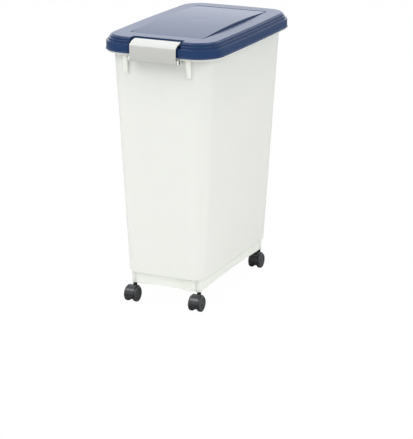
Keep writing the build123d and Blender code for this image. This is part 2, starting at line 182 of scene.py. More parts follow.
# Tub. One deep moulding in natural polypropylene, milky and a little see-through: tapered walls with bowed
# sides, a turned-down rim, a stepped foot that carries the casters, stiffeners and ears under the rim, and
# the bars at the back that the lid hangs on. All lengths from here on are millimetres until a piece is done.
millimetre = 0.001
half_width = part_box("lid")[1].x / millimetre
half_depth = -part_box("lid")[0].y / millimetre
corner_radius = 52.0
side_bow = 4.0
corner_steps = 10
side_steps = 14
edge_round = 0.6
sharp_angle = math.radians(24)
smooth_angle = math.radians(50)
same_place = 0.001
quarter_round = (0, 22.5, 45, 67.5, 90)

tub_wall = 2.4
floor_thickness = 3.0
body_bottom = 66.0
rim_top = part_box("tub")[1].z / millimetre
wall_inset_top = 18.1
wall_inset_bottom = 44.6
wall_radius_top = 35.0
wall_radius_bottom = 24.0
wall_bow_top = 3.5
wall_bow_bottom = 1.5
bottom_round = 5.0
rim_inset = 4.6
rim_wall = 2.2
rim_bottom = 553.0
rim_notch_half = 62.4
rim_notch_face = 218.9
foot_step = 8.0
foot_wall = 2.6
foot_bottom = 41.0
foot_arch_front = 3.0
foot_arch_side = 4.0
foot_corner_flat = 34.0
gusset_x = 72.0
gusset_width = 11.0
gusset_height = 44.0
gusset_reach = 9.0
gusset_end_reach = 4.0
gusset_taper = 0.8
gusset_round = 2.2
pivot_y = -222.0
pivot_z = 549.0
ear_inner = 53.1
ear_thickness = 4.0
ear_round = 5.0
ear_brace = 10.0
ear_edge_round = 0.4
hinge_y = 225.4
hinge_z = 549.0
hinge_x = 62.0
hinge_half = 8.4
hinge_ear = 3.0
hinge_ear_radius = 4.2
bar_radius = 2.4
stem_x = 76.5
stem_y = 162.7
stem_radius = 4.0
socket_radius = 6.6
socket_bottom = 40.3
socket_overlap = 1.0


def add_ring(shell, reach_x, reach_y, radius, bow, height, middle=0.0):
    """Adds a level ring of edges, a rectangle with round corners and bowed sides, and returns its edges."""
    sheet = bmesh.new()
    bmesh.ops.create_grid(sheet, x_segments=1, y_segments=1, size=1.0)
    wide = reach_x - bow
    long = reach_y - bow
    bmesh.ops.scale(sheet, verts=sheet.verts, vec=(wide, long, 1.0))
    bmesh.ops.bevel(sheet, geom=sheet.verts[:], offset=radius, affect="VERTICES", segments=corner_steps,
                    profile=0.5, material=-1)
    bmesh.ops.delete(sheet, geom=sheet.faces[:], context="FACES_ONLY")
    straight = [edge for edge in sheet.edges if edge.calc_length() > radius / 2]
    bmesh.ops.subdivide_edges(sheet, edges=straight, cuts=side_steps)
    for vert in sheet.verts:
        across = vert.co.x / wide
        along = vert.co.y / long
        vert.co.x += across * bow * (1 - along * along)
        vert.co.y += along * bow * (1 - across * across) + middle
        vert.co.z = height
    return join_sheet(shell, sheet)


def join_sheet(shell, sheet):
    """Moves one mesh into another and returns the edges that came with it."""
    before = set(shell.edges)
    carrier = bpy.data.meshes.new("carrier")
    sheet.to_mesh(carrier)
    sheet.free()
    shell.from_mesh(carrier)
    bpy.data.meshes.remove(carrier)
    return [edge for edge in shell.edges if edge not in before]


def in_order(ring):
    """Corners of a ring in the order in which they go round the Z axis."""
    corners = {vert for edge in ring for vert in edge.verts}
    return sorted(corners, key=lambda vert: math.atan2(vert.co.y, vert.co.x))


def bridge_rings(shell, rings):
    """Joins each ring to the next with a band of faces."""
    for lower, upper in zip(rings, rings[1:]):
        near = in_order(lower)
        far = in_order(upper)
        for index in range(len(near)):
            shell.faces.new((near[index - 1], near[index], far[index], far[index - 1]))


def lid_ring(shell, inset, height):
    """Ring that follows the lid's outline, so far inside it."""
    return add_ring(shell, half_width - inset, half_depth - inset, corner_radius - inset, side_bow, height)


def wall_inset(height):
    """How far inside the lid's outline the tub's outer wall is at a height."""
    share = (height - body_bottom) / (rim_top - body_bottom)
    return wall_inset_bottom + share * (wall_inset_top - wall_inset_bottom)


def wall_ring(shell, height, thickness, slope_height):
    """Ring of the tapered wall, so far inside its outer face as it is at slope_height, drawn at height."""
    share = (slope_height - body_bottom) / (rim_top - body_bottom)
    inset = wall_inset(slope_height) + thickness
    radius = wall_radius_bottom + share * (wall_radius_top - wall_radius_bottom) - thickness
    bow = wall_bow_bottom + share * (wall_bow_top - wall_bow_bottom)
    return add_ring(shell, half_width - inset, half_depth - inset, radius, bow, height)


def foot_ring(shell, thickness, height):
    """Ring of the upright foot under the tub."""
    inset = wall_inset_bottom + foot_step + thickness
    radius = wall_radius_bottom - foot_step / 2 - thickness
    return add_ring(shell, half_width - inset, half_depth - inset, radius, wall_bow_bottom, height)


def arch_foot(ring):
    """Lifts the foot's lower edge into a low arch on each side, between its flat corners."""
    half_x = half_width - wall_inset_bottom - foot_step - foot_corner_flat
    half_y = half_depth - wall_inset_bottom - foot_step - foot_corner_flat
    for vert in {vert for edge in ring for vert in edge.verts}:
        if abs(vert.co.y) < half_y:
            vert.co.z += foot_arch_side * (1 - (vert.co.y / half_y) ** 2)
        elif abs(vert.co.x) < half_x:
            vert.co.z += foot_arch_front * (1 - (vert.co.x / half_x) ** 2)


def add_plate(shell, outline, x_low, x_high):
    """Adds a plate whose outline is drawn as (y, z), between two places along X, and returns its corners."""
    corners = [shell.verts.new((x_low, y, z)) for y, z in outline]
    face = shell.faces.new(corners)
    made = bmesh.ops.extrude_face_region(shell, geom=[face])["geom"]
    moved = [item for item in made if isinstance(item, bmesh.types.BMVert)]
    bmesh.ops.translate(shell, verts=moved, vec=(x_high - x_low, 0, 0))
    return corners + moved


def add_turned(shell, outline, centre, axis, start, turn=360.0, steps=40):
    """Adds a solid turned about an axis. The outline gives (distance from the axis, place along it)."""
    points = [Vector(centre) + Vector(start) * far + Vector(axis) * along for far, along in outline]
    corners = [shell.verts.new(point) for point in points]
    face = shell.faces.new(corners)
    whole = turn >= 360.0
    moving = [face]
    if whole:
        moving = list(face.edges) + corners
        bmesh.ops.delete(shell, geom=[face], context="FACES_ONLY")
    bmesh.ops.spin(shell, geom=moving, cent=centre, axis=axis, angle=math.radians(turn), steps=steps,
                   use_merge=whole)


def add_rod(shell, radius, x_low, x_high, y, z):
    """Adds a round bar along X."""
    outline = ((0, x_low), (radius, x_low), (radius, x_high), (0, x_high))
    add_turned(shell, outline, (0, y, z), (1, 0, 0), (0, 1, 0), steps=28)


def round_edges(shell, width, limit=sharp_angle, steps=2):
    """Rounds every edge that is sharper than a limit."""
    bmesh.ops.remove_doubles(shell, verts=shell.verts, dist=same_place)
    bmesh.ops.recalc_face_normals(shell, faces=shell.faces)
    sharp = [edge for edge in shell.edges if len(edge.link_faces) == 2 and edge.calc_face_angle() > limit]
    bmesh.ops.bevel(shell, geom=sharp, offset=width, affect="EDGES", segments=steps, profile=0.5, material=-1)


def settle(shell, name, material, body, slot, *replaced):
    """Makes the finished piece from its mesh in millimetres, and says what it moves with and stands for."""
    bmesh.ops.remove_doubles(shell, verts=shell.verts, dist=same_place)
    bmesh.ops.recalc_face_normals(shell, faces=shell.faces)
    bmesh.ops.scale(shell, verts=shell.verts, vec=(millimetre, millimetre, millimetre))
    data = bpy.data.meshes.new(name)
    shell.to_mesh(data)
    shell.free()
    data.shade_smooth()
    data.set_sharp_from_angle(angle=smooth_angle)
    data.materials.append(material)
    piece = bpy.data.objects.new(name, data)
    bpy.context.scene.collection.objects.link(piece)
    even = piece.modifiers.new("even_normals", "WEIGHTED_NORMAL")
    even.keep_sharp = True
    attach(piece, body)
    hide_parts(*replaced)
    return piece


def moulded_skin():
    """Node group for moulded plastic: slow drift of tone, fine grain, and long faint rub marks."""
    group = bpy.data.node_groups.new("moulded_skin", "ShaderNodeTree")
    sockets = group.interface
    for name, kind, value in (("Tone", "NodeSocketColor", (0.8, 0.8, 0.8, 1)),
                              ("Drift Tone", "NodeSocketColor", (0.7, 0.7, 0.7, 1)),
                              ("Drift Scale", "NodeSocketFloat", 6.0),
                              ("Grain Scale", "NodeSocketFloat", 900.0),
                              ("Roughness", "NodeSocketFloat", 0.35),
                              ("Rub Roughness", "NodeSocketFloat", 0.1),
                              ("Rub Tone", "NodeSocketFloat", 0.04)):
        sockets.new_socket(name, in_out="INPUT", socket_type=kind).default_value = value
    sockets.new_socket("Color", in_out="OUTPUT", socket_type="NodeSocketColor")
    sockets.new_socket("Roughness", in_out="OUTPUT", socket_type="NodeSocketFloat")
    sockets.new_socket("Height", in_out="OUTPUT", socket_type="NodeSocketFloat")
    entry = group.nodes.new("NodeGroupInput")
    leave = group.nodes.new("NodeGroupOutput")
    place = group.nodes.new("ShaderNodeTexCoord")
    link = group.links.new

    drift = group.nodes.new("ShaderNodeTexNoise")
    drift.inputs["Detail"].default_value = 3.0
    link(place.outputs["Object"], drift.inputs["Vector"])
    link(entry.outputs["Drift Scale"], drift.inputs["Scale"])
    tone = group.nodes.new("ShaderNodeMix")
    tone.data_type = "RGBA"
    link(drift.outputs["Fac"], tone.inputs["Factor"])
    link(entry.outputs["Tone"], tone.inputs["A"])
    link(entry.outputs["Drift Tone"], tone.inputs["B"])

    grain = group.nodes.new("ShaderNodeTexNoise")
    grain.inputs["Detail"].default_value = 2.0
    link(place.outputs["Object"], grain.inputs["Vector"])
    link(entry.outputs["Grain Scale"], grain.inputs["Scale"])
    link(grain.outputs["Fac"], leave.inputs["Height"])

    stretch = group.nodes.new("ShaderNodeMapping")
    stretch.inputs["Scale"].default_value = (25.0, 420.0, 60.0)
    stretch.inputs["Rotation"].default_value = (0.3, 0.5, 0.9)
    link(place.outputs["Object"], stretch.inputs["Vector"])
    marks = group.nodes.new("ShaderNodeTexNoise")
    marks.inputs["Scale"].default_value = 1.0
    marks.inputs["Detail"].default_value = 4.0
    link(stretch.outputs["Vector"], marks.inputs["Vector"])
    rub = group.nodes.new("ShaderNodeMapRange")
    rub.inputs["From Min"].default_value = 0.58
    rub.inputs["From Max"].default_value = 0.74
    link(marks.outputs["Fac"], rub.inputs["Value"])
    worn = group.nodes.new("ShaderNodeMath")
    worn.operation = "MULTIPLY_ADD"
    link(rub.outputs["Result"], worn.inputs[0])
    link(entry.outputs["Rub Roughness"], worn.inputs[1])
    link(entry.outputs["Roughness"], worn.inputs[2])
    link(worn.outputs[0], leave.inputs["Roughness"])
    faded = group.nodes.new("ShaderNodeMath")
    faded.operation = "MULTIPLY"
    link(rub.outputs["Result"], faded.inputs[0])
    link(entry.outputs["Rub Tone"], faded.inputs[1])
    pale = group.nodes.new("ShaderNodeMix")
    pale.data_type = "RGBA"
    pale.inputs["B"].default_value = (0.8, 0.8, 0.8, 1)
    link(faded.outputs[0], pale.inputs["Factor"])
    link(tone.outputs["Result"], pale.inputs["A"])
    link(pale.outputs["Result"], leave.inputs["Color"])
    return group


skin_group = moulded_skin()


def plastic(name, tone, drift_tone, roughness, grain_scale=900.0, bump=0.1, drift_scale=6.0,
            rub_roughness=0.1, rub_tone=0.04):
    """Material of one moulded plastic. Returns it with its nodes, its skin node and its shader."""
    material = bpy.data.materials.new(name)
    material.use_nodes = True
    tree = material.node_tree
    tree.nodes.clear()
    skin = tree.nodes.new("ShaderNodeGroup")
    skin.node_tree = skin_group
    skin.inputs["Tone"].default_value = tone
    skin.inputs["Drift Tone"].default_value = drift_tone
    skin.inputs["Drift Scale"].default_value = drift_scale
    skin.inputs["Grain Scale"].default_value = grain_scale
    skin.inputs["Roughness"].default_value = roughness
    skin.inputs["Rub Roughness"].default_value = rub_roughness
    skin.inputs["Rub Tone"].default_value = rub_tone
    relief = tree.nodes.new("ShaderNodeBump")
    relief.inputs["Strength"].default_value = bump
    relief.inputs["Distance"].default_value = 0.0003
    shader = tree.nodes.new("ShaderNodeBsdfPrincipled")
    output = tree.nodes.new("ShaderNodeOutputMaterial")
    tree.links.new(skin.outputs["Color"], shader.inputs["Base Color"])
    tree.links.new(skin.outputs["Roughness"], shader.inputs["Roughness"])
    tree.links.new(skin.outputs["Height"], relief.inputs["Height"])
    tree.links.new(relief.outputs["Normal"], shader.inputs["Normal"])
    tree.links.new(shader.outputs[0], output.inputs["Surface"])
    return material, tree, skin, shader


def paint_shade_by_height(tree, skin, shader, stops):
    """Paints shade into a plastic by height: multiplies its colour by stops of (height in metres, colour)
    that go from low to high.
    """
    place = tree.nodes.new("ShaderNodeTexCoord")
    parts = tree.nodes.new("ShaderNodeSeparateXYZ")
    shade_ramp = tree.nodes.new("ShaderNodeValToRGB")
    ramp = shade_ramp.color_ramp.elements
    ramp[0].position, ramp[0].color = stops[0]
    ramp[1].position, ramp[1].color = stops[-1]
    for height, colour in stops[1:-1]:
        ramp.new(height).color = colour
    shaded_colour = tree.nodes.new("ShaderNodeMix")
    shaded_colour.data_type = "RGBA"
    shaded_colour.blend_type = "MULTIPLY"
    shaded_colour.inputs["Factor"].default_value = 1.0
    tree.links.new(place.outputs["Object"], parts.inputs[0])
    tree.links.new(parts.outputs["Z"], shade_ramp.inputs["Fac"])
    tree.links.new(skin.outputs["Color"], shaded_colour.inputs["A"])
    tree.links.new(shade_ramp.outputs["Color"], shaded_colour.inputs["B"])
    tree.links.new(shaded_colour.outputs["Result"], shader.inputs["Base Color"])


tub_tone = (0.975, 0.97, 0.875, 1)
tub_drift_tone = (0.95, 0.945, 0.85, 1)
# Painted shade by height: the wall darkens towards the rim, where the rim's shade falls on it, and the foot
# is a touch darker and greener, where the shade under the tub shows through.
tub_painted_shade = ((0.04, (0.95, 0.99, 0.98, 1)), (0.085, (1.0, 1.0, 1.0, 1)), (0.42, (0.94, 0.945, 0.95, 1)),
             (0.57, (0.82, 0.84, 0.86, 1)))
tub_plastic, tree, skin, shader = plastic("natural_polypropylene", tub_tone, tub_drift_tone, 0.36,
                                          bump=0.06, drift_scale=4.0)
shader.inputs["Subsurface Weight"].default_value = 0.35
shader.inputs["Subsurface Radius"].default_value = (1.0, 0.95, 0.8)
shader.inputs["Subsurface Scale"].default_value = 0.012
paint_shade_by_height(tree, skin, shader, tub_painted_shade)

tub = bmesh.new()
inner_floor = wall_ring(tub, body_bottom + floor_thickness, tub_wall, body_bottom + floor_thickness)
inner_top = wall_ring(tub, rim_top, tub_wall, rim_top)
rim_profile = ((rim_inset, rim_top), (rim_inset, rim_bottom), (rim_inset + rim_wall, rim_bottom),
               (rim_inset + rim_wall, rim_top - rim_wall))
rim_rings = [lid_ring(tub, inset, height) for inset, height in rim_profile]
for ring in rim_rings:
    for vert in {vert for edge in ring for vert in edge.verts}:
        depth = rim_notch_face if ring in rim_rings[:2] else rim_notch_face - rim_wall
        if abs(vert.co.x) < rim_notch_half and vert.co.y < -depth:
            vert.co.y = -depth
outer_top = wall_ring(tub, rim_top - rim_wall, 0, rim_top - rim_wall)
outer_bottom = [wall_ring(tub, body_bottom + bottom_round * (1 - math.sin(math.radians(turn))),
                          bottom_round * (1 - math.cos(math.radians(turn))), body_bottom)
                for turn in quarter_round]
foot_rings = [foot_ring(tub, 0, body_bottom), foot_ring(tub, 0, foot_bottom),
              foot_ring(tub, foot_wall, foot_bottom), foot_ring(tub, foot_wall, body_bottom)]
arch_foot(foot_rings[1])
arch_foot(foot_rings[2])
bridge_rings(tub, [inner_floor, inner_top] + rim_rings + [outer_top] + outer_bottom + foot_rings)
bmesh.ops.edgeloop_fill(tub, edges=inner_floor)
bmesh.ops.edgeloop_fill(tub, edges=foot_rings[-1])
round_edges(tub, edge_round)

fittings = bmesh.new()
gusset_top = rim_bottom + rim_wall
gusset_foot = gusset_top - gusset_height
wall_at_top = -(half_depth - wall_inset(gusset_top))
wall_at_foot = -(half_depth - wall_inset(gusset_foot))
for side in (-1, 1):
    middle = side * gusset_x
    outline = ((wall_at_top + tub_wall, gusset_top), (wall_at_top - gusset_reach, gusset_top),
               (wall_at_foot - gusset_end_reach, gusset_foot + gusset_end_reach),
               (wall_at_foot + tub_wall / 2, gusset_foot))
    corners = add_plate(fittings, outline, middle - gusset_width / 2, middle + gusset_width / 2)
    for vert in corners:
        if vert.co.z < gusset_foot + gusset_end_reach + 1:
            vert.co.x = middle + (vert.co.x - middle) * gusset_taper
round_edges(fittings, gusset_round, steps=4)
join_sheet(tub, fittings)

ears = bmesh.new()
ear_wall = -(half_depth - wall_inset(pivot_z)) + tub_wall / 2
hinge_wall = half_depth - wall_inset(hinge_z) - tub_wall / 2
hinge_top = hinge_z + hinge_ear_radius
for side in (-1, 1):
    low, high = sorted((side * ear_inner, side * (ear_inner + ear_thickness)))
    outline = ((pivot_y, pivot_z + ear_round), (ear_wall, pivot_z + ear_round),
               (ear_wall, pivot_z + ear_round - ear_brace), (pivot_y, pivot_z - ear_round))
    add_plate(ears, outline, low, high)
    add_rod(ears, ear_round, low, high, pivot_y, pivot_z)
    middle = side * hinge_x
    add_rod(ears, bar_radius, middle - hinge_half - hinge_ear, middle + hinge_half + hinge_ear,
            hinge_y, hinge_z)
    for low in (middle - hinge_half - hinge_ear, middle + hinge_half):
        outline = ((hinge_wall, hinge_top), (hinge_y, hinge_top), (hinge_y, hinge_z - hinge_ear_radius),
                   (hinge_wall, hinge_top - ear_brace))
        add_plate(ears, outline, low, low + hinge_ear)
        add_rod(ears, hinge_ear_radius, low, low + hinge_ear, hinge_y, hinge_z)
    for end in (-1, 1):
        outline = ((stem_radius, socket_bottom), (socket_radius, socket_bottom),
                   (socket_radius, body_bottom + socket_overlap), (stem_radius, body_bottom + socket_overlap))
        add_turned(ears, outline, (side * stem_x, end * stem_y, 0), (0, 0, 1), (1, 0, 0))
round_edges(ears, ear_edge_round)
join_sheet(tub, ears)
settle(tub, "tub_moulding", tub_plastic, "tub", "tub_plastic", "tub")

# Lid. A glossy navy moulding that caps the rim: a lip, an upright skirt, three low tiers, a rounded border
# and an arched panel that rises out of a thin groove. A pocket in front takes the latch, with the ridge that
# its hook snaps over, and two hooks at the back clip round the tub's bars.
overall_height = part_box("lid")[1].z / millimetre
lid_wall = 2.4
lip_bottom = 558.0
lip_height = 2.5
lip_step = 1.2
skirt_top = 576.5
tier_insets = (6.0, 9.5, 12.5)
tier_tops = (582.0, 587.0, 590.0)
border_round = 2.2
lid_edge_round = 0.45
panel_half_width = 83.0
panel_front = 160.0
panel_rear = 172.0
panel_corner = 7.0
panel_sink = 0.4
panel_cuts_along = 40
panel_cuts_across = 20
groove_width = 2.2
groove_depth = 1.1
gate_place = (-3.0, 5.0)
gate_depth = 0.35
gate_spread = 13.0
pocket_half_width = 59.0
pocket_face = 222.3
pocket_back = 194.0
pocket_corner = 6.0
cut_reach = 10
cut_drop = 5
hollow_drop = 2
shortest_edge = 0.01
keeper_half_width = 50.0
keeper_back_y = -203.0
keeper_back_z = 579.2
keeper_front_y = -209.0
keeper_front_z = 582.2
keeper_root = 1
land_height = 574.1
land_inset = 14.0
seal_inset = 8.8
seal_width = 4.0
seal_groove = 1.0
seal_side_gap = 0.1
knuckle_half = 8.0
knuckle_radius = 4.6
knuckle_bore = 2.45
knuckle_mouth = 3.6
knuckle_web = 0.8
knuckle_edge_round = 0.5


def add_panel(shell, side_gap, drop, bottom):
    """Adds the arched top of the panel and its upright sides down to bottom, and returns its lowest edges."""
    sheet = bmesh.new()
    middle = (panel_rear - panel_front) / 2
    half_long = (panel_rear + panel_front) / 2 - side_gap
    half_wide = panel_half_width - side_gap
    outline = add_ring(sheet, half_wide, half_long, panel_corner, 0, 0, middle)
    bmesh.ops.edgeloop_fill(sheet, edges=outline)
    cuts = [((0, middle + half_long * (2 * step / panel_cuts_along - 1), 0), (0, 1, 0))
            for step in range(1, panel_cuts_along)]
    cuts += [((half_wide * (2 * step / panel_cuts_across - 1), 0, 0), (1, 0, 0))
             for step in range(1, panel_cuts_across)]
    for point, direction in cuts:
        bmesh.ops.bisect_plane(sheet, geom=sheet.verts[:] + sheet.edges[:] + sheet.faces[:], dist=0.3,
                               plane_co=point, plane_no=direction)
    rise = overall_height - tier_tops[-1] + panel_sink
    for vert in sheet.verts:
        gate = math.hypot(vert.co.x - gate_place[0], vert.co.y - gate_place[1]) / gate_spread
        vert.co.z = overall_height - drop - rise * ((vert.co.y - middle) / half_long) ** 2
        vert.co.z -= gate_depth * math.exp(-gate * gate)
    rim = [edge for edge in sheet.edges if edge.is_boundary]
    lowered, rim = pull_ring(sheet, rim)
    for vert in lowered:
        vert.co.z = bottom
    came = join_sheet(shell, sheet)
    return [edge for edge in came if edge.is_boundary]


def pull_ring(shell, ring):
    """Extrudes a ring of edges where it lies, and returns the new ring's corners and edges."""
    made = bmesh.ops.extrude_edge_only(shell, edges=ring)["geom"]
    fresh = {item for item in made if isinstance(item, bmesh.types.BMVert)}
    return fresh, [edge for edge in shell.edges if edge.verts[0] in fresh and edge.verts[1] in fresh]


def upright_edges(shell, y):
    """Edges of a block that stand upright at a depth."""
    return [edge for edge in shell.edges if all(abs(vert.co.y - y) < 0.01 for vert in edge.verts)
            and abs(edge.verts[0].co.z - edge.verts[1].co.z) > 1]


def latch_room(grow):
    """Room for the latch in the lid's front; grow makes the larger block that keeps the wall round it."""
    room = bmesh.new()
    face = -pocket_face + grow * lid_wall
    back = -pocket_back + grow * lid_wall
    floor = skirt_top - grow * lid_wall
    front = -half_depth - cut_reach
    half = pocket_half_width + grow * lid_wall
    top = overall_height + cut_reach
    low = lip_bottom - cut_drop
    outline = ((front, low), (face, low), (face, floor), (back, floor), (back, top), (front, top))
    add_plate(room, outline, -half, half)
    bmesh.ops.bevel(room, geom=upright_edges(room, back), offset=pocket_corner, affect="EDGES", segments=5,
                    profile=0.5, material=-1)
    return room


def carve(body, tool, operation="DIFFERENCE"):
    """Cuts one closed mesh with another, both as triangles that face outwards, and returns the result."""
    things = []
    for name, shell in (("body", body), ("tool", tool)):
        bmesh.ops.remove_doubles(shell, verts=shell.verts, dist=shortest_edge)
        bmesh.ops.dissolve_degenerate(shell, edges=shell.edges, dist=shortest_edge)
        bmesh.ops.triangulate(shell, faces=shell.faces)
        bmesh.ops.recalc_face_normals(shell, faces=shell.faces)
        if shell.calc_volume(signed=True) < 0:
            bmesh.ops.reverse_faces(shell, faces=shell.faces)
        data = bpy.data.meshes.new(name)
        shell.to_mesh(data)
        shell.free()
        thing = bpy.data.objects.new(name, data)
        bpy.context.scene.collection.objects.link(thing)
        things.append(thing)
    cut = things[0].modifiers.new("cut", "BOOLEAN")
    cut.operation = operation
    cut.object = things[1]
    cut.solver = "EXACT"
    cut.use_self = True
    bpy.context.view_layer.update()
    graph = bpy.context.evaluated_depsgraph_get()
    data = bpy.data.meshes.new_from_object(things[0].evaluated_get(graph))
    result = bmesh.new()
    result.from_mesh(data)
    for thing in things:
        bpy.data.meshes.remove(thing.data)
    bpy.data.meshes.remove(data)
    return result


lid_tone = (0.011, 0.036, 0.112, 1)
lid_drift_tone = (0.014, 0.042, 0.125, 1)
lid_plastic, tree, skin, shader = plastic("navy_polypropylene", lid_tone, lid_drift_tone, 0.2, bump=0.03,
                                          rub_roughness=0.04, rub_tone=0.005)
shader.inputs["IOR"].default_value = 1.46

solid = bmesh.new()
profile = [(0, lip_bottom), (0, lip_bottom + lip_height), (lip_step, lip_bottom + lip_height),
           (lip_step, skirt_top), (tier_insets[0], skirt_top), (tier_insets[0], tier_tops[0]),
           (tier_insets[1], tier_tops[0]), (tier_insets[1], tier_tops[1]), (tier_insets[2], tier_tops[1])]
rings = [lid_ring(solid, inset, height) for inset, height in profile]
bridge_rings(solid, rings)
bmesh.ops.edgeloop_fill(solid, edges=rings[0])
border = [lid_ring(solid, tier_insets[2] + border_round * (1 - math.cos(math.radians(turn))),
                   tier_tops[2] - border_round * (1 - math.sin(math.radians(turn))))
          for turn in quarter_round]
bridge_rings(solid, [rings[-1]] + border)
panel_middle = (panel_rear - panel_front) / 2
groove_inner = add_panel(solid, 0, 0, tier_tops[2] - groove_depth)
groove_corners, groove_outer = pull_ring(solid, groove_inner)
panel_half_length = (panel_front + panel_rear) / 2
wider = (panel_half_width + groove_width) / panel_half_width
longer = (panel_half_length + groove_width) / panel_half_length
for vert in groove_corners:
    vert.co.x *= wider
    vert.co.y = panel_middle + (vert.co.y - panel_middle) * longer
groove_corners, groove_top = pull_ring(solid, groove_outer)
for vert in groove_corners:
    vert.co.z = tier_tops[2]
bmesh.ops.triangle_fill(solid, edges=groove_top + border[-1], use_beauty=True, normal=(0, 0, 1))
round_edges(solid, lid_edge_round)

hollow = bmesh.new()
groove_near = seal_inset - seal_side_gap
groove_far = seal_inset + seal_width + seal_side_gap
ceiling = tier_tops[2] - groove_depth - lid_wall
inner_profile = [(lip_step + lid_wall, lip_bottom - hollow_drop), (lip_step + lid_wall, land_height),
                 (groove_near, land_height), (groove_near, land_height + seal_groove),
                 (groove_far, land_height + seal_groove), (groove_far, land_height),
                 (land_inset, land_height), (land_inset, tier_tops[1] - lid_wall),
                 (tier_insets[2] + lid_wall, tier_tops[1] - lid_wall), (tier_insets[2] + lid_wall, ceiling)]
rings = [lid_ring(hollow, inset, height) for inset, height in inner_profile]
bridge_rings(hollow, rings)
bmesh.ops.edgeloop_fill(hollow, edges=rings[0])
under_panel = add_panel(hollow, lid_wall, lid_wall, ceiling)
bmesh.ops.triangle_fill(hollow, edges=under_panel + rings[-1], use_beauty=True, normal=(0, 0, 1))
hollow = carve(hollow, latch_room(1))
lid = carve(carve(solid, hollow), latch_room(0))

lid_fittings = bmesh.new()
outline = ((keeper_front_y, skirt_top - keeper_root), (keeper_front_y, keeper_front_z),
           (keeper_back_y, keeper_back_z), (keeper_back_y, skirt_top - keeper_root))
add_plate(lid_fittings, outline, -keeper_half_width, keeper_half_width)
skirt_inside = half_depth - lip_step - lid_wall
knuckle_roof = hinge_z + knuckle_bore + knuckle_web
mouth_angle = math.degrees(math.asin(knuckle_mouth / 2 / knuckle_bore))
for side in (-1, 1):
    middle = side * hinge_x
    outline = ((knuckle_bore, middle - knuckle_half), (knuckle_radius, middle - knuckle_half),
               (knuckle_radius, middle + knuckle_half), (knuckle_bore, middle + knuckle_half))
    start = math.radians(mouth_angle - 90)
    add_turned(lid_fittings, outline, (0, hinge_y, hinge_z), (1, 0, 0), (0, math.cos(start), math.sin(start)),
               turn=360 - 2 * mouth_angle)
    outline = ((skirt_inside, knuckle_roof), (hinge_y + knuckle_radius, knuckle_roof),
               (hinge_y + knuckle_radius, lip_bottom + lip_height), (skirt_inside, lip_bottom + lip_height))
    add_plate(lid_fittings, outline, middle - knuckle_half, middle + knuckle_half)
round_edges(lid_fittings, knuckle_edge_round)
join_sheet(lid, lid_fittings)
settle(lid, "lid_moulding", lid_plastic, "lid", "lid_plastic", "lid")

# Seal. A soft pale ring of thermoplastic rubber that lies in the groove of the lid's land, just over the rim.
# It is pushed in and held by its own spring.
seal_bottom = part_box("lid_seal")[0].z / millimetre
seal_round = 0.9
seal_rubber = plastic("seal_rubber", (0.62, 0.63, 0.61, 1), (0.56, 0.57, 0.55, 1), 0.6, grain_scale=1500.0,
                      bump=0.2)[0]
seal = bmesh.new()
seal_top = land_height + seal_groove
seal_profile = ((seal_inset, seal_bottom), (seal_inset, seal_top), (seal_inset + seal_width, seal_top),
                (seal_inset + seal_width, seal_bottom))
rings = [lid_ring(seal, inset, height) for inset, height in seal_profile]
bridge_rings(seal, rings + rings[:1])
round_edges(seal, seal_round, steps=3)
settle(seal, "seal_ring", seal_rubber, "lid", "seal_rubber", "lid_seal")

# Latch. An off-white snap latch moulded in one: a front plate, a shoulder that steps back over the lid's
# edge, a hook behind it, and a peg on a cheek at each lower corner. It turns on the pegs in the tub's ears.
latch_half = 52.5
latch_front = -230.0
latch_thickness = 2.4
latch_bottom = 545.0
latch_shoulder = 577.5
latch_steps = ((1.2, 2.4), (5.5, 4.4), (8.0, 6.6), (16.0, 8.8))
latch_corner = 7.0
latch_cheek = 6.5
cheek_round = 4.0
peg_radius = 2.5
peg_reach = 57.1
hook_radius = 36.1
hook_tip = 19.9
hook_front = 11.0
hook_thickness = 2.0
hook_lip = 0.6
crown_z = 588.0
crown_slope = (3.2, 2.4)
plate_slope = 1
shoulder_root = (1, 3.4)
plate_root = 1.5
plan_reach = 5
plan_grow = 0.01
latch_edge_round = 0.8
latch_sharp_angle = math.radians(20)
cheek_root = 0.4
cheek_edge_round = 0.4
peg_root = 1

latch_tone = (0.70, 0.705, 0.675, 1)
latch_drift_tone = (0.67, 0.675, 0.645, 1)
# Painted shade by height: the front plate below the shoulder is darkened and the stepped top above it is left
# at full tone, as the light falls on them.
latch_painted_shade = ((0.545, (0.72, 0.72, 0.71, 1)), (0.576, (0.78, 0.78, 0.775, 1)), (0.581, (1.0, 1.0, 1.0, 1)))
latch_plastic, tree, skin, shader = plastic("latch_polypropylene", latch_tone, latch_drift_tone, 0.34,
                                            bump=0.06)
shader.inputs["Subsurface Weight"].default_value = 0.2
shader.inputs["Subsurface Radius"].default_value = (1.0, 0.95, 0.8)
shader.inputs["Subsurface Scale"].default_value = 0.004
paint_shade_by_height(tree, skin, shader, latch_painted_shade)


def on_hook(back):
    """Point of the hook's underside, an arc about the pivot, so far behind the pivot."""
    return pivot_y + back, pivot_z + math.sqrt(hook_radius ** 2 - back ** 2)


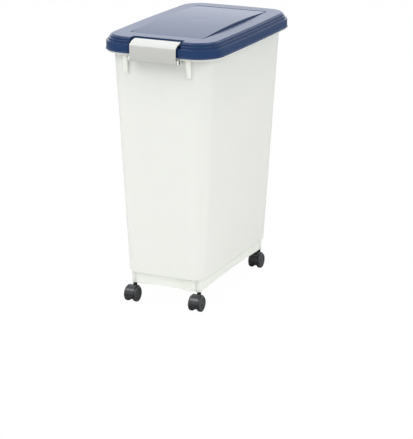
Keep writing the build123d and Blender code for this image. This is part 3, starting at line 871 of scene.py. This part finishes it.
latch = bmesh.new()
latch_inner = latch_front + latch_thickness
tip_y, tip_z = on_hook(hook_tip)
heel = tip_y + hook_thickness
outline = [(latch_inner, latch_bottom), (latch_front, latch_bottom + plate_slope),
           (latch_front, latch_shoulder)]
outline += [(latch_front + back, latch_shoulder + rise) for back, rise in latch_steps]
outline += [(heel - crown_slope[0], crown_z), (heel, crown_z - crown_slope[1]), (heel, tip_z + hook_lip),
            (tip_y, tip_z), on_hook((hook_tip + hook_front) / 2), on_hook(hook_front),
            (pivot_y + shoulder_root[0], latch_shoulder + shoulder_root[1]),
            (latch_inner, latch_shoulder - plate_root)]
add_plate(latch, outline, -latch_half, latch_half)
plan = bmesh.new()
outline = ((latch_front - plan_reach, latch_bottom - plan_reach), (heel, latch_bottom - plan_reach),
           (heel, overall_height), (latch_front - plan_reach, overall_height))
add_plate(plan, outline, -latch_half - plan_grow, latch_half + plan_grow)
bmesh.ops.bevel(plan, geom=upright_edges(plan, heel), offset=latch_corner, affect="EDGES", segments=6,
                profile=0.5, material=-1)
latch = carve(latch, plan, "INTERSECT")
round_edges(latch, latch_edge_round, limit=latch_sharp_angle, steps=3)
cheeks = bmesh.new()
for side in (-1, 1):
    low, high = sorted((side * latch_half, side * (latch_half - latch_cheek)))
    add_rod(cheeks, cheek_round, low, high, pivot_y, pivot_z)
    outline = ((latch_inner - cheek_root, pivot_z - cheek_round), (pivot_y, pivot_z - cheek_round),
               (pivot_y, pivot_z + cheek_round), (latch_inner - cheek_root, pivot_z + cheek_round))
    add_plate(cheeks, outline, low, high)
    low, high = sorted((side * (latch_half - peg_root), side * peg_reach))
    add_rod(cheeks, peg_radius, low, high, pivot_y, pivot_z)
round_edges(cheeks, cheek_edge_round)
join_sheet(latch, cheeks)
settle(latch, "latch_moulding", latch_plastic, "latch", "latch_plastic", "latch")

# Casters. Four twin-wheel casters with black moulded housings: a hood over both wheels, a web between them
# and a neck that turns on a steel stem pushed into the foot, where a split spring ring grips it. The wheels
# are moulded too, closed outside and hollow inside, and turn on a steel pin through the web.
caster_trail = 11.9
wheel_radius = 17.0
wheel_inner = 6.0
wheel_width = 8.0
tread_round = 2.0
hood_inner = 17.6
hood_thickness = 1.8
hood_half = 10.4
hood_rear_angle = 28.0
hood_sweep = 175.0
web_half = 5.0
web_radius = 9.5
web_low_angle = -15
neck_radius = 4.5
neck_top = 40.0
bore_radius = 2.85
bore_bottom = 21.0
hub_radius = 4.8
axle_bore = 2.05
hollow_radius = 13.8
hollow_depth = 5.6
pin_depth = 6.6
disc_rim_radius = 13.4
disc_radius = 12.8
disc_hub_radius = 7.4
disc_boss_radius = 6.8
disc_depth = 0.8
hood_edge_round = 0.5
wheel_edge_round = 0.25
wheel_sharp_angle = math.radians(35)

caster_plastic = plastic("caster_nylon", (0.018, 0.018, 0.019, 1), (0.024, 0.024, 0.025, 1), 0.2, bump=0.08,
                         rub_tone=0.05)[0]
wheel_plastic = plastic("wheel_nylon", (0.03, 0.03, 0.031, 1), (0.045, 0.045, 0.045, 1), 0.38, bump=0.12,
                        rub_tone=0.1)[0]
steel, tree, skin, shader = plastic("plated_steel", (0.55, 0.55, 0.54, 1), (0.48, 0.48, 0.47, 1), 0.28,
                                    grain_scale=1800.0, bump=0.08, rub_roughness=0.15, rub_tone=0.0)
shader.inputs["Metallic"].default_value = 1.0

for corner, (x, y) in {"front_left": (-stem_x, -stem_y), "front_right": (stem_x, -stem_y),
                       "rear_left": (-stem_x, stem_y), "rear_right": (stem_x, stem_y)}.items():
    base = "caster_" + corner
    axle_y = y - caster_trail
    start = math.radians(hood_rear_angle)
    housing = bmesh.new()
    outline = ((hood_inner, -hood_half), (hood_inner + hood_thickness, -hood_half),
               (hood_inner + hood_thickness, hood_half), (hood_inner, hood_half))
    add_turned(housing, outline, (x, axle_y, wheel_radius), (1, 0, 0), (0, math.cos(start), math.sin(start)),
               turn=hood_sweep, steps=24)
    outline = [(axle_y + (hood_inner + hood_thickness / 2) * math.cos(math.radians(turn)),
                wheel_radius + (hood_inner + hood_thickness / 2) * math.sin(math.radians(turn)))
               for turn in range(web_low_angle, 181 - web_low_angle, 10)]
    add_plate(housing, outline, x - web_half, x + web_half)
    add_rod(housing, web_radius, x - web_half, x + web_half, axle_y, wheel_radius)
    outline = ((0, wheel_radius), (neck_radius, wheel_radius), (neck_radius, neck_top),
               (bore_radius, neck_top), (bore_radius, bore_bottom), (0, bore_bottom))
    add_turned(housing, outline, (x, y, 0), (0, 0, 1), (1, 0, 0), steps=32)
    round_edges(housing, hood_edge_round)
    settle(housing, base + "_hood", caster_plastic, base + "_swivel", "caster_plastic", base + "_housing")
    for side, name in ((-1, "left"), (1, "right")):
        wheel = bmesh.new()
        tread = [(wheel_radius - tread_round * (1 - math.cos(math.radians(turn))),
                  tread_round * (1 - math.sin(math.radians(turn)))) for turn in (90, 60, 30, 0)]
        far_tread = [(far, wheel_width - along) for far, along in reversed(tread)]
        outline = [(axle_bore, 0), (hub_radius, 0), (hub_radius, hollow_depth), (hollow_radius, hollow_depth),
                   (hollow_radius, 0)] + tread + far_tread
        outline += [(disc_rim_radius, wheel_width), (disc_radius, wheel_width - disc_depth),
                    (disc_hub_radius, wheel_width - disc_depth), (disc_boss_radius, wheel_width),
                    (0, wheel_width), (0, pin_depth), (axle_bore, pin_depth)]
        inner_face = (x + side * wheel_inner, axle_y, wheel_radius)
        add_turned(wheel, outline, inner_face, (side, 0, 0), (0, 1, 0), steps=48)
        round_edges(wheel, wheel_edge_round, limit=wheel_sharp_angle)
        settle(wheel, base + "_tyre_" + name, wheel_plastic, base + "_wheel_" + name, "wheel_plastic",
               base + "_wheel_" + name)
    for part in ("_stem", "_grip_ring", "_axle"):
        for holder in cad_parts[base + part].material_slots:
            holder.material = steel
